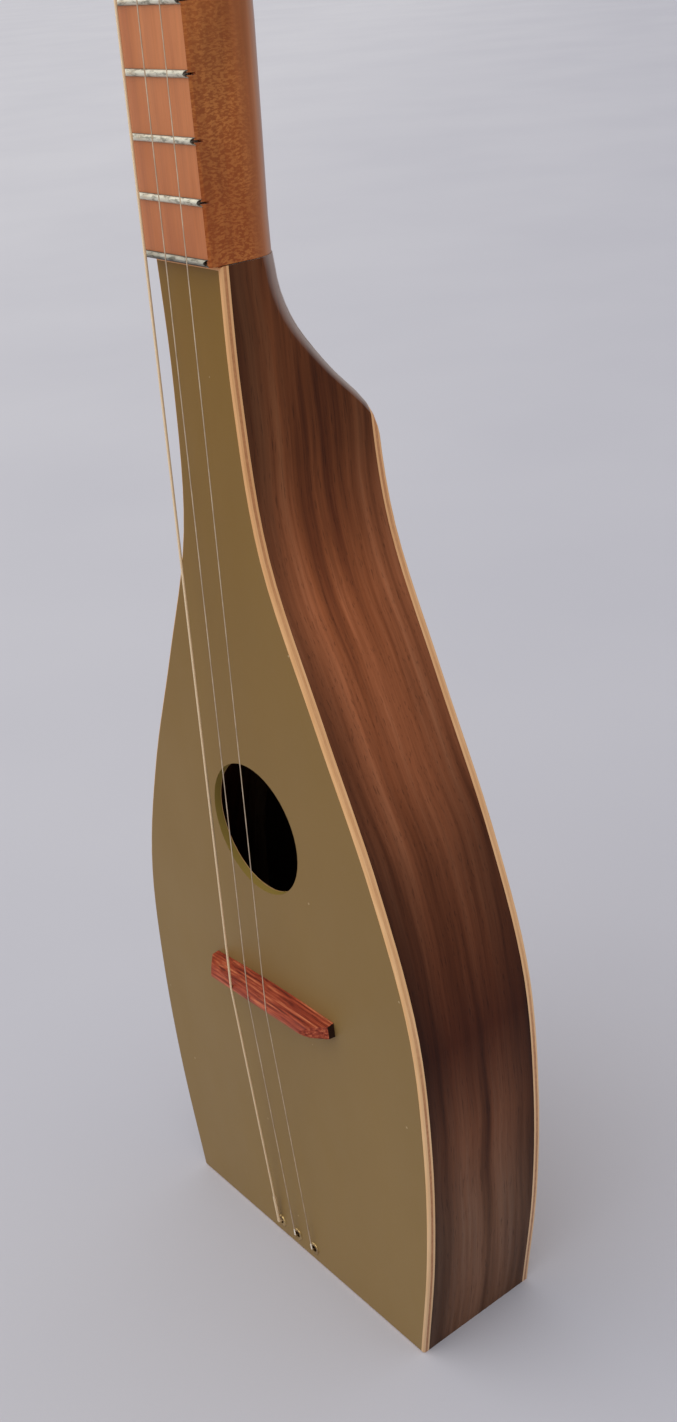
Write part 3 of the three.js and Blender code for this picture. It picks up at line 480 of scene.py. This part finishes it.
# ---- smoothing ----
def smoothing_group():
    """Geometry nodes that shade smooth across every edge flatter than SMOOTH_ANGLE."""
    tree = bpy.data.node_groups.new("smooth_by_angle", "GeometryNodeTree")
    tree.interface.new_socket("Geometry", in_out="INPUT", socket_type="NodeSocketGeometry")
    tree.interface.new_socket("Geometry", in_out="OUTPUT", socket_type="NodeSocketGeometry")
    start = tree.nodes.new("NodeGroupInput")
    end = tree.nodes.new("NodeGroupOutput")
    faces = tree.nodes.new("GeometryNodeSetShadeSmooth")
    faces.domain = "FACE"
    edges = tree.nodes.new("GeometryNodeSetShadeSmooth")
    edges.domain = "EDGE"
    bend = tree.nodes.new("GeometryNodeInputMeshEdgeAngle")
    flat = tree.nodes.new("ShaderNodeMath")
    flat.operation = "LESS_THAN"
    flat.inputs[1].default_value = math.radians(SMOOTH_ANGLE)
    tree.links.new(start.outputs[0], faces.inputs["Geometry"])
    tree.links.new(faces.outputs[0], edges.inputs["Geometry"])
    tree.links.new(bend.outputs["Unsigned Angle"], flat.inputs[0])
    tree.links.new(flat.outputs[0], edges.inputs["Shade Smooth"])
    tree.links.new(edges.outputs[0], end.inputs[0])
    return tree


def refine(obj, bevel):
    """Weld a piece's corners, ease its edges and shade it smooth."""
    weld = obj.modifiers.new("weld", "WELD")
    weld.merge_threshold = 1e-6
    if bevel:
        ease = obj.modifiers.new("ease", "BEVEL")
        ease.width = bevel
        ease.segments = 3
        ease.limit_method = "ANGLE"
        ease.angle_limit = math.radians(SMOOTH_ANGLE)
    smooth = obj.modifiers.new("smooth", "NODES")
    smooth.node_group = SMOOTHING
    weighted = obj.modifiers.new("weighted", "WEIGHTED_NORMAL")
    weighted.keep_sharp = True


def dress(names, material, bevel=0.0):
    """Give CAD pieces one material, and edges eased by the bevel."""
    for name in names:
        obj = nodes[name]
        obj.data.materials.clear()
        obj.data.materials.append(material)
        refine(obj, bevel)


# ---- pieces made here ----
def own_piece(name, data, material, body, slot):
    """A piece from its mesh or curve, riding on a body."""
    obj = bpy.data.objects.new(name, data)
    bpy.context.scene.collection.objects.link(obj)
    data.materials.append(material)
    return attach(obj, body)


def coil(name, start, end, radius, wire, turns, *looks):
    """Wire wound round the line from start to end; looks are own_piece's last arguments."""
    curve = bpy.data.curves.new(name, "CURVE")
    curve.dimensions = "3D"
    curve.bevel_depth = wire
    curve.bevel_resolution = 2
    curve.use_fill_caps = True
    forward = (end - start).normalized()
    side = forward.orthogonal().normalized()
    other = forward.cross(side)
    steps = turns * COIL_STEPS
    spline = curve.splines.new("POLY")
    spline.points.add(steps)
    for k, point in enumerate(spline.points):
        angle = k / COIL_STEPS * math.tau
        spot = start.lerp(end, k / steps) + radius * (side * math.cos(angle) + other * math.sin(angle))
        point.co = (*spot, 1)
    return own_piece(name, curve, *looks)


def screw_head(name, seat, axis, size, *looks):
    """Domed head with a driver's slot, standing on seat and facing along axis."""
    radius = size["radius"]
    height = size["height"]
    bm = bmesh.new()
    turn = axis.to_track_quat("Z", "X").to_matrix()

    def loft(rings):
        levels = [[bm.verts.new(seat + turn @ Vector(p)) for p in ring] for ring in rings]
        for low, high in zip(levels, levels[1:]):
            for k in range(len(low)):
                after = (k + 1) % len(low)
                bm.faces.new((low[k], low[after], high[after], high[k]))
        bm.faces.new(levels[0][::-1])
        bm.faces.new(levels[-1])

    def arc(r, z, angles):
        return [(r * math.cos(angle), r * math.sin(angle), z) for angle in angles]

    # A round foot, then half a dome on either side of the slot.
    circle = [k / 28 * math.tau for k in range(28)]
    loft([arc(radius, z, circle) for z in (0, 0.4 * height)])
    for side in (-1, 1):
        rings = []
        for width, level in SCREW_DOME:
            reach = math.acos(size["slot_half"] / (width * radius))
            angles = [reach * (k / 7 - 1) for k in range(15)]
            rings.append(arc(side * width * radius, level * height, angles))
        loft(rings)
    mesh = bpy.data.meshes.new(name)
    bm.to_mesh(mesh)
    bm.free()
    obj = own_piece(name, mesh, *looks)
    refine(obj, 0.06 * MM)
    return obj


def reach_along(node, axis):
    """How far a node reaches along an axis, from its lowest to its highest point."""
    spots = [v.co.dot(axis) for v in nodes[node].data.vertices]
    return min(spots), max(spots)


def fit_tuner(i, joint, wire, material):
    """Wraps of string, a slotted gear screw and two wood screws for one tuner."""
    axis = Vector(joint["axis"]).normalized()
    up = Vector((1, 0, 0)).cross(axis)
    foot = Vector(joint["pos_m"])
    foot -= axis * foot.dot(axis)
    post = f"tuner_post_{i}"

    low, high = reach_along(f"winding_{i}", axis)
    wraps = coil(f"string_wraps_{i}", foot + axis * (low + wire), foot + axis * (high - wire),
                 WAIST_R + wire, wire, WRAPS, material, post, "bronze" if i == 1 else "string_steel")
    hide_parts(f"winding_{i}")

    low, high = reach_along(f"gear_screw_{i}", axis)
    seat = foot + axis * (high - GEAR_SCREW["height"])
    head = screw_head(f"slotted_gear_screw_{i}", seat, axis, GEAR_SCREW, NICKEL, post, "nickel")
    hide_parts(f"gear_screw_{i}")

    face = foot + axis * (reach_along(f"tuner_plate_{i}", axis)[1] - EAR_RISE)
    for word, height in WOOD_SCREW_PLACES.items():
        screw_head(f"{word}_wood_screw_{i}", face + up * height, axis, WOOD_SCREW,
                   NICKEL, "instrument", "nickel")


# ---- build ----
make_camera()
make_studio()

SMOOTHING = smoothing_group()
WALNUT = walnut()
SPRUCE = spruce()
NICKEL = metal("nickel_silver", (0.60, 0.57, 0.51), (0.82, 0.80, 0.73), 0.28)
STEEL = metal("satin_steel", (0.42, 0.41, 0.39), (0.60, 0.59, 0.56), 0.34)
WIRE = metal("string_steel", (0.60, 0.47, 0.33), (0.79, 0.64, 0.46), 0.4)
# A brighter copy of the string steel, a painted highlight for the twists.
HIGHLIT_WIRE = metal("highlit_string_steel", (0.86, 0.80, 0.72), (0.97, 0.93, 0.87), 0.3)
BRASS = metal("brass", (0.34, 0.22, 0.09), (0.60, 0.43, 0.19), 0.3)
BRONZE = wound_bronze()

dress(["top_plate"], painted_top())
dress(["back_plate"], plywood("back_plate"))
dress(["bridge_patch"], plywood("bridge_patch"), 0.3 * MM)
dress(["side_left", "side_right", "tail_block", "heel_block"], WALNUT)
dress([name for name in nodes if name.startswith(("lining", "brace"))], SPRUCE, 0.3 * MM)
dress(["neck"], lacewood())
dress(["bridge", "nut"], padauk(), 0.25 * MM)
dress([f"fret_{n}" for n in range(1, 14)], fret_metal("fret_metal", 1.0, 0.75), 0.08 * MM)
# The last fret has a darker copy of the fret metal, painted shade, darkest on its lower half.
dress(["fret_14"], fret_metal("shaded_fret_metal", 0.62, 0.12), 0.08 * MM)
for i in EACH:
    dress([f"ferrule_{i}", f"ball_end_{i}"], BRASS)
    dress([f"tuner_plate_{i}"], STEEL, 0.15 * MM)
    dress([f"worm_{i}", f"post_{i}"], STEEL)
    dress([f"bushing_{i}", f"gear_screw_{i}"], NICKEL)
    dress([f"string_{i}", f"winding_{i}"], BRONZE if i == 1 else WIRE)

# Only the first button is swirled. The other two have the frame's own plain ivory.
dress(["button_1"], pearl_plastic())
dress(["button_2", "button_3"], bpy.data.materials["ivory_plastic"])

posts = [joint for joint in frame["joints"] if joint["name"].startswith("post_turn")]
for i, joint, wire in zip(EACH, posts, STRING_R):
    fit_tuner(i, joint, wire, BRONZE if i == 1 else WIRE)

# The thin strings are doubled back and twisted just above their ferrules; the twists have a brighter copy
# of the string steel, a painted highlight.
in_front, above_tail = TWIST_START
for i, wire in zip(EACH[1:], STRING_R[1:]):
    low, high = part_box(f"ferrule_{i}")
    mouth = Vector(((low.x + high.x) / 2, low.y + in_front, above_tail))
    coil(f"string_twist_{i}", mouth, mouth + TOWARDS_BRIDGE * TWIST_LENGTH, 1.4 * wire, 0.55 * wire,
         TWIST_TURNS, HIGHLIT_WIRE, "instrument", "string_steel")
